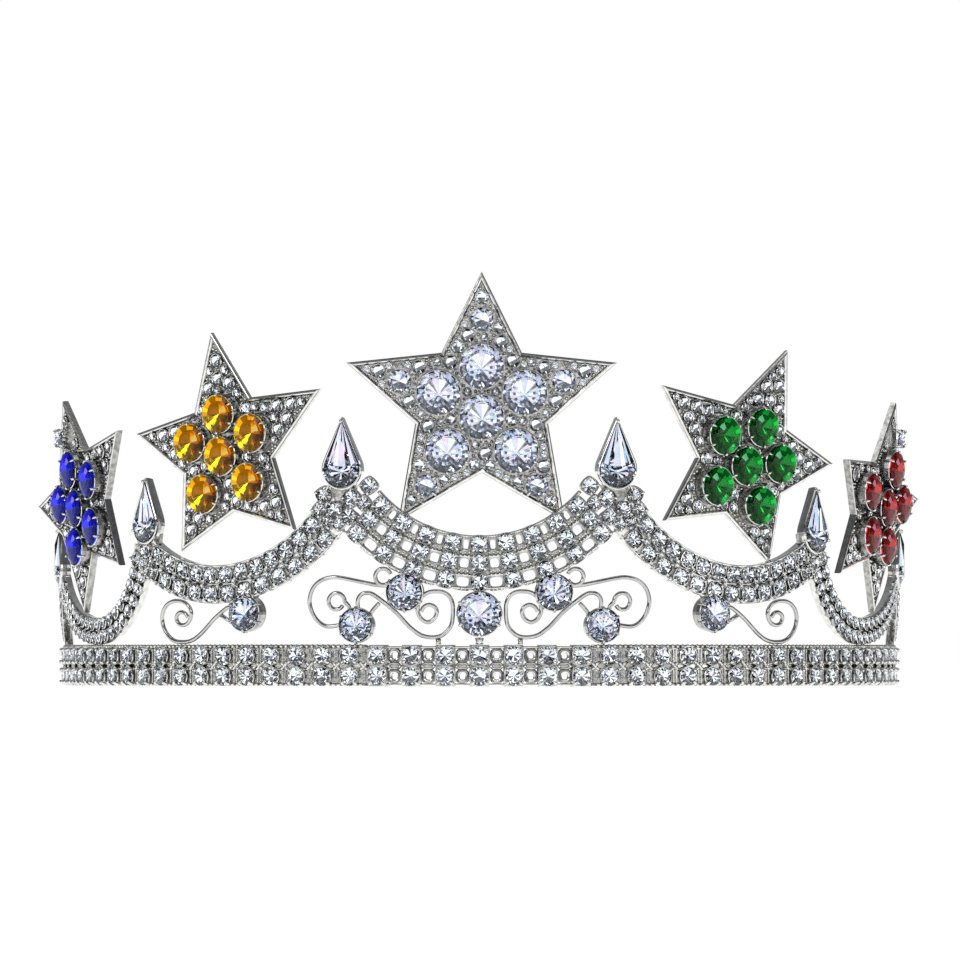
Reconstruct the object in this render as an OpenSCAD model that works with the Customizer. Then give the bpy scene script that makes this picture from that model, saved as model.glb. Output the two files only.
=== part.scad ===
/* [Band] */
// Radius at the front of the stone cups of the band, in mm
band_r = 75; // [65:0.5:85]
// Height of the band, in mm
band_h = 7.25; // [5:0.05:10]
// Angle from the front centre to each end of the band, in degrees
half_angle = 97; // [97:1:110]
// Radius of a band stone, in mm
band_stone_r = 1.6; // [1:0.05:1.65]
// Radius of the hair-pin bore in each end eye, in mm
eye_bore_r = 1.2; // [0.8:0.1:1.5]

/* [Scallops] */
// Outward lean of everything above the band, in mm per mm of height
flare = 0.052; // [0:0.002:0.08]
// Radius of a stone in the three-row front scallop, in mm
front_stone_r = 1.3; // [1:0.05:1.35]
// Radius of a stone in the two-row side scallops, in mm
side_stone_r = 1.3; // [1:0.05:1.35]

/* [Stars] */
// Thickness of a star tray, in mm
plate_t = 1.8; // [1.4:0.1:2.2]
// Width of the raised rim of a star tray, in mm
rim_w = 0.8; // [0.5:0.1:1]
// Depth of the pocket inside the rim, in mm
pocket_d = 0.6; // [0.3:0.1:1]
// Outward lean of the star trays, in degrees
star_lean = 2.6; // [0:0.2:5]

/* [Scrolls] */
// Thickness of the scroll wire, in mm
wire_d = 0.75; // [0.6:0.05:0.8]

/* [Hidden] */
deg_mm = band_r * PI / 180;
wall = 0.4;

// Each star: angle, radius of the tray centre, height, turn of the tray face, outline.
// Outlines run clockwise from the top tip: tip, notch, tip, notch and so on.
white_pts = [[0, 24.4], [6.9, 10.5], [23.2, 8.8], [11.4, -1.7], [14.3, -18.4],
    [0, -10.1], [-14.3, -18.4], [-11.4, -1.7], [-23.2, 8.8], [-6.9, 10.5]];
yellow_pts = [[-2.1, 19.7], [6.1, 8.3], [21.7, 9.5], [10.9, -2.2], [15.2, -14.7],
    [1.9, -11.4], [-10.1, -18.2], [-9.2, -4.8], [-19.6, 2.4], [-6.3, 5.9]];
green_pts = [[9.9, 19.2], [10.3, 5.4], [21.0, -0.4], [9.3, -6.0], [7.1, -18.0],
    [-3.1, -9.4], [-16.6, -10.7], [-9.7, 0.2], [-18.0, 12.6], [-1.7, 9.5]];
blue_pts = [[-5.3, 17.2], [3.7, 8.3], [18.6, 11.4], [12.2, -0.5], [17.4, -12.2],
    [5.4, -10.2], [0.6, -20.4], [-7.8, -6.7], [-18.6, -1.4], [-8.6, 2.5]];
red_pts = [[4.9, 16.9], [8.2, 2.6], [17.0, 0], [6.6, -6.7], [-1.2, -20.4],
    [-5.0, -11.1], [-17.3, -13.6], [-11.4, -3.2], [-15.5, 6.4], [-3, 6.2]];
STARS = [[0.3, 73.2, 46.8, 0.3, white_pts],
    [-37.4, 73.1, 41.7, -37.4, yellow_pts],
    [37.9, 73.8, 39.3, 37.9, green_pts],
    [-69.0, 76.1, 33.4, -64.4, blue_pts],
    [68.7, 76.4, 33.4, 64.4, red_pts]];
// Round stones of each star: across, up, radius, in the plane of its tray
WHITE = [[0, 8.2, 3.7], [7.4, 3.7, 3.7], [5.9, -6.3, 3.7], [-5.9, -6.3, 3.7],
    [-7.4, 3.7, 3.7], [0, -0.5, 3.7]];
YELLOW = [[0.4, 5.6, 3.2], [7.4, 2.2, 3.2], [6.5, -6.3, 3.2], [-3.6, -8.2, 3.2],
    [-6.2, 0.7, 3.2], [0.6, -1.7, 3.2]];
GREEN = [[3.4, 5.7, 3.2], [7.6, -0.5, 3.2], [3.3, -7.8, 3.2], [-6.4, -4.5, 3.2],
    [-5.1, 4.2, 3.2], [0, -1.0, 3.2]];
BLUE = [[0.2, 4.9, 3.1], [8.7, 3.0, 3.1], [9.3, -5.3, 3.1], [1.7, -8.7, 3.1],
    [-4.4, -1.2, 3.1], [2.2, -1.9, 3.1]];
RED = [[1.9, 4.9, 3.1], [5.8, -1.1, 3.1], [-0.4, -8.6, 3.1], [-7.6, -6.8, 3.1],
    [-8.3, 0.9, 3.1], [-0.9, -1.9, 3.1]];
CLUSTERS = [WHITE, YELLOW, GREEN, BLUE, RED];
// Smaller clear stones of the white, blue and red trays: across, up, radius, rise
WHITE_SMALL = [[0, 16.2, 2, 0.9], [14.1, 5.6, 2, 0.9], [9.5, -12.3, 1.9, 0.9],
    [-9.5, -12.3, 1.9, 0.9], [-14.1, 5.6, 2, 0.9]];
BLUE_SMALL = [[-3.2, 10.6, 1.7, 1.9]];
RED_SMALL = [[3.4, 10.5, 1.7, 1.9]];
SMALLS = [WHITE_SMALL, [], [], BLUE_SMALL, RED_SMALL];
rise = 2;
ring_colours = ["white", "gold", "green", "blue", "red"];

// Pear stones in bezels: unrolled distance, height of the round end, radius, tip
PEARS_L = [[-23.56, 37.4, 3.1, 45.5], [-65.5, 28.3, 3.0, 35.6], [-108.6, 20.8, 2.8, 27.6]];
PEARS_R = [[23.56, 37.4, 3.1, 45.5], [66.4, 26.6, 3.0, 34.0], [108.6, 20.8, 2.8, 27.6]];
// Round scroll stones: unrolled distance, height, radius
CENTRE = [0, 12.5, 3.7];
STONE_B = [12.75, 16.2, 3.0];
STONE_C = [21.35, 10.6, 2.8];
STONE_D = [42.4, 12.7, 2.95];

// Radius of the outer face at a height
function rad(z) = band_r + flare * max(0, z - band_h);
// Point of the unrolled face (across s, height z) at a depth q from the outer face
function wrap(s, z, q) = let (a = s / deg_mm, r = rad(z) + q)
    [r * sin(a), -r * cos(a), z];
// Point of an arc about [c, h]: angle is measured from straight down
function arc(c, h, r, a) = [c + r * sin(a), h - r * cos(a)];
function arcs(c, h, r, a0, a1, n) = [for (i = [0:n]) arc(c, h, r, a0 + (a1 - a0) * i / n)];
// Smooth curve through the points of p, with n steps between two of them
function curve(p, n) = let (m = len(p) - 1) concat([for (i = [0:m - 1], k = [0:n - 1])
    let (a = p[max(i - 1, 0)], b = p[i], c = p[i + 1], d = p[min(i + 2, m)], t = k / n)
    0.5 * (2 * b + (c - a) * t + (2 * a - 5 * b + 4 * c - d) * t * t
        + (3 * b - a - 3 * c + d) * t * t * t)], [p[m]]);
function unit(v) = v / norm(v);

// Places its child at a point of the face: x along the band, y up, z outwards
module at(s, z, q = 0, turn = 0) {
    rotate([0, 0, s / deg_mm]) translate([0, -rad(z) - q, z]) rotate([90, 0, 0])
        rotate([0, 0, turn]) children();
}

// Closed solid through rings of points, each ring in the same order
module loft(rings) {
    n = len(rings);
    m = len(rings[0]);
    polyhedron(points = [for (r = rings, p = r) p],
        faces = concat([[for (j = [0:m - 1]) j]],
            [for (i = [0:n - 2], j = [0:m - 1]) let (k = (j + 1) % m)
                [i * m + k, i * m + j, (i + 1) * m + j]],
            [for (i = [0:n - 2], j = [0:m - 1]) let (k = (j + 1) % m)
                [i * m + k, (i + 1) * m + j, (i + 1) * m + k]],
            [[for (j = [m - 1:-1:0]) (n - 1) * m + j]]));
}

// Strip between two lines of the unrolled face, q0 to q1 deep
module strip(low, high, q0, q1) {
    loft([for (i = [0:len(low) - 1]) let (a = low[i], b = high[i])
        [wrap(a[0], a[1], q0), wrap(b[0], b[1], q0),
         wrap(b[0], b[1], q1), wrap(a[0], a[1], q1)]]);
}

// Round wire along a line of the unrolled face
module wire(p, q = -0.7, d = wire_d, sides = 6) {
    n = len(p) - 1;
    loft([for (i = [0:n]) let (t = unit(p[min(i + 1, n)] - p[max(i - 1, 0)]),
        u = [-t[1], t[0]])
        [for (j = [0:sides - 1]) let (a = 360 * j / sides, o = cos(a) * d / 2 * u)
            wrap(p[i][0] + o[0], p[i][1] + o[1], q + sin(a) * d / 2)]]);
}

// Wire curl: a ring that turns from angle a0 to a1 about its centre
function curl(c, r0, r1, a0, a1, n) = [for (i = [0:n]) let (a = a0 + (a1 - a0) * i / n,
    r = r0 + (r1 - r0) * i / n) [c[0] + r * cos(a), c[1] + r * sin(a)]];

// Round stone: table, crown of sharp facets, pointed back. The girdle is at z = 0.
module stone(r, sides = 8, back = 0.6) {
    m = 8;
    k = sides / m;
    table = [for (i = [0:m - 1]) let (a = 360 * i / m + 22.5)
        [0.58 * r * cos(a), 0.58 * r * sin(a), 0.34 * r]];
    girdle = [for (i = [0:sides - 1]) let (a = 360 * i / sides)
        [r * cos(a), r * sin(a), 0]];
    polyhedron(points = concat(table, girdle, [[0, 0, -back * r]]),
        faces = concat([[for (i = [m - 1:-1:0]) i]],
            [for (i = [0:m - 1]) [i, (i + 1) % m, m + ((i + 1) * k) % sides]],
            [for (i = [0:sides - 1]) [floor(i / k), m + (i + 1) % sides, m + i]],
            [for (i = [0:sides - 1]) [m + i, m + (i + 1) % sides, m + sides]]));
}

module band() {
    color("silver") difference() {
        union() {
            rotate([0, 0, -90 - half_angle]) rotate_extrude(angle = 2 * half_angle, $fn = 180)
                polygon([[band_r - 2, 0], [band_r - 0.25, 0], [band_r - 0.25, 0.45],
                    [band_r - 0.7, 0.45], [band_r - 0.7, band_h - 0.45],
                    [band_r - 0.25, band_h - 0.45], [band_r - 0.25, band_h],
                    [band_r - 2, band_h]]);
            for (c = band_columns) at(c, 0) band_cups();
            for (g = [-1, 1]) at(g * (half_angle * deg_mm + 1.6), 3.6, -2) end_eye();
        }
        for (c = band_columns, z = band_rows) at(c, z) seat(band_stone_r);
        for (i = [-2.5:1:2.5]) at(i * centre_pitch, 0) {
            for (z = band_rows) translate([-0.75, z - 0.85, -3]) cube([1.5, 1.7, 4]);
            translate([-1.07, -0.1, -3]) cube([2.14, 0.65, 4]);
            translate([-1.07, band_h - 0.85, -3]) cube([2.14, 1, 4]);
        }
        for (g = [-1, 1]) at(g * (half_angle * deg_mm + 1.6), 3.6, -3)
            cylinder(r = eye_bore_r, h = 4, $fn = 48);
    }
}
band_rows = [1.85, 5.4];
// The seven middle columns stand further apart than the others
centre_pitch = 5.93;
side_pitch = 4.97;
band_columns = concat([for (i = [-3:3]) i * centre_pitch],
    [for (g = [-1, 1], i = [1:21]) g * (3 * centre_pitch + side_pitch * i)]);
module band_cups() {
    for (z = band_rows) translate([-1.9, z - 1.73, -1.4]) cube([3.8, 3.46, 1.4]);
}
module end_eye() {
    cylinder(r = 2.6, h = 1.3, $fn = 48);
}
// Recess that a small stone stands in, cut from the outer face inwards
module seat(r) {
    translate([0, 0, -1.55]) cylinder(r = r + 0.12, h = 2, $fn = 32);
}
module small_stone(r, sides = 8) {
    translate([0, 0, -0.35]) stone(r, sides);
}
module band_stones() {
    color("white") for (c = band_columns, z = band_rows) at(c, z) small_stone(band_stone_r);
}

// Front scallop: three rows of cups on open rails about [0, 48.8]
front_h = 48.8;
front_rows = [24.4, 27.6, 30.8];
front_rails = [26, 29.2];
front_columns = [for (i = [-4:4]) i * 10.8];
function front_end(r) = min(48.6, asin(23.3 / r));
module front_rail(r, w, q0, q1) {
    e = front_end(r + w / 2);
    strip(arcs(0, front_h, r + w / 2, -e, e, 26), arcs(0, front_h, r - w / 2, -e, e, 26), q0, q1);
}
module scallop_front() {
    color("silver") difference() {
        union() {
            front_rail(23.1, 0.6, -1.9, -0.4);
            front_rail(32.0, 0.6, -1.9, -0.4);
            for (r = front_rails) front_rail(r, 1.7, -1.9, -0.9);
            for (a = front_columns) {
                p = arc(0, front_h, 27.55, a);
                at(p[0], p[1], -0.95, a) translate([-0.6, -4.3, -0.95]) cube([1.2, 8.6, 0.9]);
                for (r = front_rows) {
                    c = arc(0, front_h, r, a);
                    at(c[0], c[1], 0, a) translate([-1.7, -1.52, -1.8]) cube([3.4, 3.04, 1.8]);
                }
            }
        }
        for (a = front_columns, r = front_rows) {
            c = arc(0, front_h, r, a);
            at(c[0], c[1], 0, a) seat(front_stone_r);
        }
    }
}

// Side scallops. g is -1 for the left side and 1 for the right side.
side_c = [49, 47];
side_rows = [27.65, 30.95];
side_columns = [for (i = [0:11]) -45.5 + 6.8 * i];
function flip(g, p) = [for (q = p) [g * q[0], q[1]]];
module side_strip(g, low, high, q0, q1) {
    if (g > 0) strip(low, high, q0, q1);
    else strip(flip(g, high), flip(g, low), q0, q1);
}
module scallop_side(g, pears) {
    color("silver") difference() {
        union() {
            // two-row inner scallop, with raised side walls
            side_strip(g, arcs(side_c[0], side_c[1], 32.6, -51.2, 36, 24),
                arcs(side_c[0], side_c[1], 26, -62, 36, 24), -1.9, -0.9);
            side_strip(g, arcs(side_c[0], side_c[1], 32.66, -50.9, 35.7, 24),
                arcs(side_c[0], side_c[1], 32.1, -51.9, 35.7, 24), -1.4, -0.3);
            side_strip(g, arcs(side_c[0], side_c[1], 26.5, -60.7, 35.7, 24),
                arcs(side_c[0], side_c[1], 25.94, -61.7, 35.7, 24), -1.4, -0.3);
            // two-row outer scallop, with its flatter far half
            side_strip(g, concat(arcs(84, 26.5, 19.1, -80, 0, 16), far_arc(38, 12, 41.5)),
                concat(arcs(84, 26.5, 14.4, -84, 0, 16), far_arc(33.3, 12, 41.5)), -2, -0.85);
            side_strip(g, concat(arcs(84, 26.5, 19.15, -79.7, 0, 16), far_arc(38.05, 12, 41.3)),
                concat(arcs(84, 26.5, 18.65, -80.5, 0, 16), far_arc(37.55, 12, 41.3)),
                -1.5, -0.25);
            side_strip(g, concat(arcs(84, 26.5, 14.85, -82.7, 0, 16), far_arc(33.75, 12, 41.3)),
                concat(arcs(84, 26.5, 14.35, -83.7, 0, 16), far_arc(33.25, 12, 41.3)),
                -1.5, -0.25);
            // strut from the third joint down to the band
            side_strip(g, [[109.2, 18.6], [114.2, 12], [119.2, 7.45]],
                [[111.6, 20.6], [117.0, 13.6], [122.4, 7.45]], -1.8, -0.5);
            // pads under the pear bezels
            side_strip(g, [[23.75, 29.2], [23.85, 27.6]], [[20.9, 34.6], [26.3, 35.0]], -1.7, -0.6);
            side_strip(g, [[63.9, 20.4], [68.6, 21.4]], [[62.4, 26.6], [69.2, 26.6]], -1.6, -0.55);
            side_strip(g, [[105.4, 17.0], [111.4, 17.6]], [[106.2, 20.6], [111.2, 20.6]],
                -1.7, -0.6);
            for (a = side_columns, r = side_rows) {
                c = arc(side_c[0], side_c[1], r, a);
                at(g * c[0], c[1], 0, g * a) translate([-1.55, -1.52, -1.7]) cube([3.1, 3.04, 1.7]);
            }
            for (p = pears) at(p[0], p[1], -0.6) translate([0, 0, -1.2])
                linear_extrude(1.9) pear_shape(p[2] + 0.5, p[3] - p[1] + 0.75);
        }
        for (a = side_columns, r = side_rows) {
            c = arc(side_c[0], side_c[1], r, a);
            at(g * c[0], c[1], 0, g * a) seat(side_stone_r);
        }
        for (p = pears) at(p[0], p[1], -0.6) translate([0, 0, -0.9])
            linear_extrude(2.5) pear_shape(p[2] + 0.14, p[3] - p[1] + 0.2);
    }
}
function far_arc(r, n, a) = [for (i = [1:n]) arc(84, 45.4, r, a * i / n)];
module scallop_stones() {
    color("white") {
        for (a = front_columns, r = front_rows) {
            c = arc(0, front_h, r, a);
            at(c[0], c[1], 0, a) small_stone(front_stone_r);
        }
        for (g = [-1, 1], a = side_columns, r = side_rows) {
            c = arc(side_c[0], side_c[1], r, a);
            at(g * c[0], c[1], 0, g * a) small_stone(side_stone_r);
        }
    }
}

// Pear outline: a round end of radius r about the origin and a tip at height h
function pear_pts(r, h, n = 12) = let (t = acos(r / h)) concat([[0, h]],
    [for (i = [0:n]) let (a = t + (360 - 2 * t) * i / n) [r * sin(a), r * cos(a)]]);
module pear_shape(r, h) {
    polygon(pear_pts(r, h));
}
// Pear stone: flat table, sloping crown, keel-shaped back
module pear_stone(p) {
    o = pear_pts(p[2], p[3] - p[1]);
    n = len(o);
    mid = [0, 0.18 * (p[3] - p[1])];
    tb = [for (q = o) mid + 0.52 * (q - mid)];
    color("white") at(p[0], p[1], 0.15)
        polyhedron(points = concat([for (q = tb) [q[0], q[1], 0.95]],
            [for (q = o) [q[0], q[1], 0]], [[mid[0], mid[1], -1.3]]),
            faces = concat([[for (i = [0:n - 1]) i]],
                [for (i = [0:n - 1]) [n + i, (i + 1) % n, i]],
                [for (i = [0:n - 1]) [n + i, n + (i + 1) % n, (i + 1) % n]],
                [for (i = [0:n - 1]) [n + (i + 1) % n, n + i, 2 * n]]));
}

// Places its child in the plane of a star tray: x across, y up, z outwards from the face
module on_star(i) {
    s = STARS[i];
    translate([s[1] * sin(s[0]), -s[1] * cos(s[0]), s[2]]) rotate([0, 0, s[3]])
        rotate([90 + star_lean, 0, 0]) children();
}
// Moves each corner of a closed outline inwards by d
function inset(p, d) = let (n = len(p)) [for (i = [0:n - 1])
    let (a = unit(p[i] - p[(i + n - 1) % n]), b = unit(p[(i + 1) % n] - p[i]),
        na = [a[1], -a[0]], nb = [b[1], -b[0]], m = na + nb) p[i] + d * 2 * m / (m * m)];
module star_tray(i) {
    pts = STARS[i][4];
    color("silver") on_star(i) difference() {
        union() {
            difference() {
                translate([0, 0, -plate_t]) linear_extrude(plate_t) polygon(pts);
                translate([0, 0, -pocket_d]) linear_extrude(pocket_d + 1) polygon(inset(pts, rim_w));
            }
            for (c = CLUSTERS[i]) translate([c[0], c[1], -1]) cylinder(r = c[2] + wall, h = 1 + rise,
                $fn = 48);
            for (c = SMALLS[i]) translate([c[0], c[1], -1]) cylinder(r = c[2] + 0.3, h = 1 + c[3],
                $fn = 48);
        }
        for (c = CLUSTERS[i]) translate([c[0], c[1], rise - 2.6]) cylinder(r = c[2] + 0.12, h = 4,
            $fn = 48);
        for (c = SMALLS[i]) translate([c[0], c[1], c[3] - 1.6]) cylinder(r = c[2] + 0.12, h = 3,
            $fn = 48);
    }
}
module star_stone(i, k) {
    c = CLUSTERS[i][k];
    color(ring_colours[i]) on_star(i) translate([c[0], c[1], rise - 0.1]) stone(c[2], 16, 0.62);
}
module accent_stones() {
    color("white") for (i = [0, 3, 4]) on_star(i) for (c = SMALLS[i])
        translate([c[0], c[1], c[3] - 0.15]) stone(c[2], 8, 0.6);
}

// Round setting for a scroll stone, with its top cut to overlap the scallop beside it
module setting(p, scallop, r, w = 0.3) {
    at(p[0], p[1], -1.9) difference() {
        cylinder(r = p[2] + w, h = 2.6, $fn = 48);
        translate([0, 0, 0.35]) cylinder(r = p[2] + 0.12, h = 3, $fn = 48);
        translate([scallop[0] - p[0], scallop[1] - p[1], -0.5])
            cylinder(r = r + 0.15, h = 2.85, $fn = 240);
    }
}
module round_stone(p) {
    color("white") at(p[0], p[1], 0.55) stone(p[2], 16, 0.5);
}
module centre_setting() {
    color("silver") {
        setting(CENTRE, [0, front_h], 32.35);
        at(0, 7.9, -1.9) translate([-1, -0.5, 0]) cube([2, 1.6, 1.6]);
    }
}
S_WIRE = [[-21.2, 13.2], [-21.2, 14.9], [-20.6, 15.85], [-19.6, 16.15], [-18.5, 15.9], [-16.7, 14.65],
    [-14.5, 12.85], [-12.5, 10.7], [-11.4, 9.75], [-10.3, 9.0], [-9.0, 8.6], [-7.65, 8.55], [-6.5, 8.85],
    [-5.5, 9.65], [-4.85, 10.6], [-4.6, 11.8], [-4.55, 13.0], [-4.6, 14.1], [-4.9, 15.1], [-5.5, 15.85],
    [-6.4, 16.3], [-7.4, 16.4], [-8.5, 16.3], [-9.4, 15.9], [-10.2, 15.1], [-10.6, 14.0], [-10.65, 12.9],
    [-10.1, 11.75], [-8.95, 11.1], [-7.85, 11.65], [-7.35, 12.7], [-7.65, 13.65], [-8.6, 14.1]];
OUTER_LOOP = [[-23.8, 10.75], [-25.9, 10.45], [-27.05, 10.45], [-28.1, 10.9], [-29.0, 11.7],
    [-29.65, 12.7], [-30.0, 13.7], [-30.15, 14.7], [-29.95, 15.8], [-29.5, 16.85], [-28.8, 17.7],
    [-27.8, 18.35], [-26.7, 18.7], [-25.4, 18.85], [-24.0, 18.7], [-22.4, 18.4], [-19.2, 17.75],
    [-17.8, 17.5], [-15.6, 17.3]];
CURL_C = concat([[-22.7, 13.1], [-22.9, 13.9]], curl([-25.15, 14.65], 1.55, 1.3, 0, 330, 12));
// Wire that joins stone C to the S wire
CROSS_WIRE = [[-19.0, 12.6], [-18.3, 13.5], [-17.4, 14.4]];
module scroll_front(g) {
    color("silver") {
        setting([g * STONE_B[0], STONE_B[1], STONE_B[2]], [0, front_h], 32.35);
        setting([g * STONE_C[0], STONE_C[1], STONE_C[2]], [0, front_h], 32.35);
        wire(flip(-g, curve(S_WIRE, 1)));
        wire(flip(-g, curve(OUTER_LOOP, 1)), -0.8);
        wire(flip(-g, curve(CURL_C, 1)), -0.8);
        wire(flip(-g, CROSS_WIRE), -0.8);
        wire(flip(-g, curl([-16.65, 18.9], 1.4, 1.4, 20, 340, 14)), -0.75);
        at(g * 7.1, 7.9, -1.1) translate([-0.5, -0.53, 0]) cube([1, 0.9, 0.8]);
    }
}
SIDE_WIRE = [[44.4, 13.6], [46.3, 13.8], [47.4, 13.3], [48.5, 12.6], [49.9, 11.6], [51.4, 10.35],
    [52.9, 9.2], [54.5, 8.3], [56.1, 7.85], [57.7, 7.78], [59.3, 7.95], [60.7, 8.6], [61.85, 9.7],
    [62.45, 10.95], [62.5, 12.2], [61.95, 13.4], [60.9, 14.35], [59.4, 14.85], [57.8, 14.9],
    [56.4, 14.55], [55.5, 13.85], [55.1, 12.95], [55.2, 12.0], [55.9, 11.1], [57.1, 10.7], [58.2, 10.95],
    [58.75, 11.7], [58.5, 12.5], [57.6, 12.95]];
module scroll_side(g) {
    color("silver") {
        setting([g * STONE_D[0], STONE_D[1], STONE_D[2]], [g * side_c[0], side_c[1]], 32.6);
        wire(flip(g, curve(SIDE_WIRE, 1)));
        wire(flip(g, [[45.2, 11.1], [47.0, 11.7], [48.6, 12.6]]), -0.8);
    }
}

band();
scallop_front();
scallop_side(-1, PEARS_L);  // scallop_left
scallop_side(1, PEARS_R);  // scallop_right
star_tray(0);  // star_white
star_tray(1);  // star_yellow
star_tray(2);  // star_green
star_tray(3);  // star_blue
star_tray(4);  // star_red
centre_setting();
scroll_front(-1);  // scroll_front_left
scroll_front(1);  // scroll_front_right
scroll_side(-1);  // scroll_side_left
scroll_side(1);  // scroll_side_right
band_stones();
scallop_stones();
accent_stones();
names = ["white", "yellow", "green", "blue", "red"];
for (i = [0:4], k = [0:5])
    star_stone(i, k);
for (k = [0:2]) {
    pear_stone(PEARS_L[k]);
    pear_stone(PEARS_R[k]);
}
round_stone(CENTRE);  // centre_stone
for (g = [-1, 1]) {
    e = g < 0 ? "l" : "r";
    round_stone([g * STONE_B[0], STONE_B[1],
        STONE_B[2]]);
    round_stone([g * STONE_C[0], STONE_C[1],
        STONE_C[2]]);
    round_stone([g * STONE_D[0], STONE_D[1],
        STONE_D[2]]);
}
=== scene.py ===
"""Looks of the regalia crown: plated metal, prong-set clear stones and coloured star stones."""
import math

import bmesh
import bpy
import numpy as np
from mathutils import Matrix


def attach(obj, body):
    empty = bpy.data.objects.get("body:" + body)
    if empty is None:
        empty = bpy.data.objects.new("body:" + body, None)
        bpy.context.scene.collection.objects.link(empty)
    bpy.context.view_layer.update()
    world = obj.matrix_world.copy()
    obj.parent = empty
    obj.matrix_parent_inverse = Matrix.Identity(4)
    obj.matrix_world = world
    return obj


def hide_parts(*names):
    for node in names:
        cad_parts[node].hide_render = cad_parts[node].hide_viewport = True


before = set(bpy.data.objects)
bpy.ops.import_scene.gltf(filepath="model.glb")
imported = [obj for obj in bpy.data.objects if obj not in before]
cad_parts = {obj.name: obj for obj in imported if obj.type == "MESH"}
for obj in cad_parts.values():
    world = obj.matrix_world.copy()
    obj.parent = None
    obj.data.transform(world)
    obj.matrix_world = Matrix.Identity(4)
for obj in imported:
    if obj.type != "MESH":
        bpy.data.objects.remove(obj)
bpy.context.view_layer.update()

# Layout of the crown, in mm: the unrolled face runs along s, with height z and depth q
MM = 0.001
BAND_R = 75.0
BAND_H = 7.25
HALF_ANGLE = 97.0
FLARE = 0.052
DEG_MM = BAND_R * math.pi / 180
BAND_ROWS = (1.85, 5.4)
BAND_MID = 3.62
CENTRE_PITCH = 5.93
SIDE_PITCH = 4.97
FRONT_H = 48.8
FRONT_ROWS = (24.4, 27.6, 30.8)
FRONT_RAILS = (26.0, 29.2)
FRONT_PITCH = 10.8
SIDE_CENTRE = (49.0, 47.0)
SIDE_ROWS = (27.65, 30.95)
SIDE_COLUMNS = [-45.5 + 6.8 * i for i in range(12)]
OUTER_CENTRE = (84.0, 26.5)
OUTER_FAR = (84.0, 45.4)
STAR_LEAN = 2.6
RIM_W = 0.8
POCKET_D = 0.6
RISE = 2.0

# Star trays: angle round the band, radius of the tray's centre, height, facing angle, outline
STARS = {
    "white": (0.3, 73.2, 46.8, 0.3, [(0, 24.4), (6.9, 10.5), (23.2, 8.8), (11.4, -1.7), (14.3, -18.4),
              (0, -10.1), (-14.3, -18.4), (-11.4, -1.7), (-23.2, 8.8), (-6.9, 10.5)]),
    "yellow": (-37.4, 73.1, 41.7, -37.4, [(-2.1, 19.7), (6.1, 8.3), (21.7, 9.5), (10.9, -2.2),
               (15.2, -14.7), (1.9, -11.4), (-10.1, -18.2), (-9.2, -4.8), (-19.6, 2.4), (-6.3, 5.9)]),
    "green": (37.9, 73.8, 39.3, 37.9, [(9.9, 19.2), (10.3, 5.4), (21.0, -0.4), (9.3, -6.0),
              (7.1, -18.0), (-3.1, -9.4), (-16.6, -10.7), (-9.7, 0.2), (-18.0, 12.6), (-1.7, 9.5)]),
    "blue": (-69.0, 76.1, 33.4, -64.4, [(-5.3, 17.2), (3.7, 8.3), (18.6, 11.4), (12.2, -0.5),
             (17.4, -12.2), (5.4, -10.2), (0.6, -20.4), (-7.8, -6.7), (-18.6, -1.4), (-8.6, 2.5)]),
    "red": (68.7, 76.4, 33.4, 64.4, [(4.9, 16.9), (8.2, 2.6), (17.0, 0), (6.6, -6.7), (-1.2, -20.4),
            (-5.0, -11.1), (-17.3, -13.6), (-11.4, -3.2), (-15.5, 6.4), (-3, 6.2)]),
}
# Round stones of each star: across, up, radius
CLUSTERS = {
    "white": [(0, 8.2, 3.7), (7.4, 3.7, 3.7), (5.9, -6.3, 3.7), (-5.9, -6.3, 3.7), (-7.4, 3.7, 3.7),
              (0, -0.5, 3.7)],
    "yellow": [(0.4, 5.6, 3.2), (7.4, 2.2, 3.2), (6.5, -6.3, 3.2), (-3.6, -8.2, 3.2),
               (-6.2, 0.7, 3.2), (0.6, -1.7, 3.2)],
    "green": [(3.4, 5.7, 3.2), (7.6, -0.5, 3.2), (3.3, -7.8, 3.2), (-6.4, -4.5, 3.2),
              (-5.1, 4.2, 3.2), (0, -1.0, 3.2)],
    "blue": [(0.2, 4.9, 3.1), (8.7, 3.0, 3.1), (9.3, -5.3, 3.1), (1.7, -8.7, 3.1), (-4.4, -1.2, 3.1),
             (2.2, -1.9, 3.1)],
    "red": [(1.9, 4.9, 3.1), (5.8, -1.1, 3.1), (-0.4, -8.6, 3.1), (-7.6, -6.8, 3.1), (-8.3, 0.9, 3.1),
            (-0.9, -1.9, 3.1)],
}
# Visible thickness of each star's plate and the material slot of its wall; the blue and red walls take slot
# 1, the darker silver, as painted shade
WALLS = {"white": (1.1, 0), "yellow": (0.85, 0), "green": (0.85, 0), "blue": (1.2, 1), "red": (1.2, 1)}
# Headings of the painted light wedge, the facet with a painted glint and the painted shade wedge in the
# stones of each star
PAINTED_LIGHT_HEADINGS = {"yellow": (-115, 20, 135), "green": (-65, 130, 110), "blue": (-125, 55, 20),
              "red": (-70, 128, 105)}
# Smaller clear stones in raised cups: across, up, radius, rise
ACCENTS = {
    "white": [(0, 16.2, 2, 0.9), (14.1, 5.6, 2, 0.9), (9.5, -12.3, 1.9, 0.9), (-9.5, -12.3, 1.9, 0.9),
              (-14.1, 5.6, 2, 0.9)],
    "yellow": [], "green": [],
    "blue": [(-3.2, 10.6, 1.7, 1.9)],
    "red": [(3.4, 10.5, 1.7, 1.9)],
}
# Pear stones: distance s, height of the round end, radius, height of the tip
PEARS = {
    -1: [(-23.56, 37.4, 3.1, 45.5), (-65.5, 28.3, 3.0, 35.6), (-108.6, 20.8, 2.8, 27.6)],
    1: [(23.56, 37.4, 3.1, 45.5), (66.4, 26.6, 3.0, 34.0), (108.6, 20.8, 2.8, 27.6)],
}
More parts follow.
